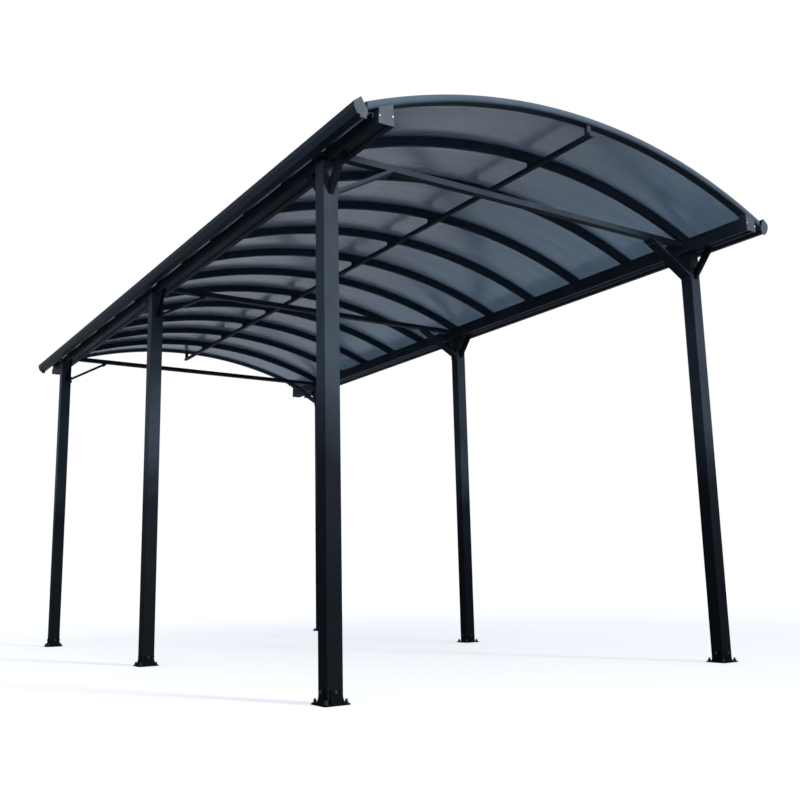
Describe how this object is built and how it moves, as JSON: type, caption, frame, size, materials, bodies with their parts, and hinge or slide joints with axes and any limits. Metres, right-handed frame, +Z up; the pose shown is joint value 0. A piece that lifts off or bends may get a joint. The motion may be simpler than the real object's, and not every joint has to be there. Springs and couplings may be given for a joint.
{
  "type": "carport",
  "caption": "Open carport with an arched panel roof on slender ribs, side beams with gutters, cross ties and square posts on base plates.",
  "frame": {"origin": "on the ground in the middle of the plan", "axes": "+X across the width to the right, +Y along the length to the rear, +Z up"},
  "size_m": [2.668, 5.4, 2.653],
  "materials": {
    "coated_aluminium": "satin powder coat, dark slate grey",
    "coated_steel": "satin powder coat, near black",
    "moulded_cap": "matt moulded cap, slate grey",
    "tinted_sheet": "tinted twin-wall sheet, glossy"
  },
  "bodies": {
    "root": {"crest_purlin": "coated_aluminium", "front_arch": "coated_aluminium", "front_knee_braces": "coated_aluminium", "front_left_foot": "coated_steel", "front_left_post": "coated_aluminium", "front_right_foot": "coated_steel", "front_right_post": "coated_aluminium", "front_tie": "coated_aluminium", "left_beam_caps": "moulded_cap", "left_beam_struts": "coated_aluminium", "left_gutter": "coated_aluminium", "left_gutter_brackets": "coated_aluminium", "left_gutter_caps": "moulded_cap", "left_side_beam": "coated_aluminium", "middle_knee_braces": "coated_aluminium", "middle_left_foot": "coated_steel", "middle_left_post": "coated_aluminium", "middle_right_foot": "coated_steel", "middle_right_post": "coated_aluminium", "middle_tie": "coated_aluminium", "rear_arch": "coated_aluminium", "rear_knee_braces": "coated_aluminium", "rear_left_foot": "coated_steel", "rear_left_post": "coated_aluminium", "rear_right_foot": "coated_steel", "rear_right_post": "coated_aluminium", "rear_tie": "coated_aluminium", "right_beam_caps": "moulded_cap", "right_beam_struts": "coated_aluminium", "right_gutter": "coated_aluminium", "right_gutter_brackets": "coated_aluminium", "right_gutter_caps": "moulded_cap", "right_side_beam": "coated_aluminium", "roof_panels_1": "tinted_sheet", "roof_panels_2": "tinted_sheet", "roof_panels_3": "tinted_sheet", "roof_panels_4": "tinted_sheet", "roof_rib_1": "coated_aluminium", "roof_rib_10": "coated_aluminium", "roof_rib_11": "coated_aluminium", "roof_rib_2": "coated_aluminium", "roof_rib_3": "coated_aluminium", "roof_rib_4": "coated_aluminium", "roof_rib_5": "coated_aluminium", "roof_rib_6": "coated_aluminium", "roof_rib_7": "coated_aluminium", "roof_rib_8": "coated_aluminium", "roof_rib_9": "coated_aluminium"}
  },
  "joints": []
}
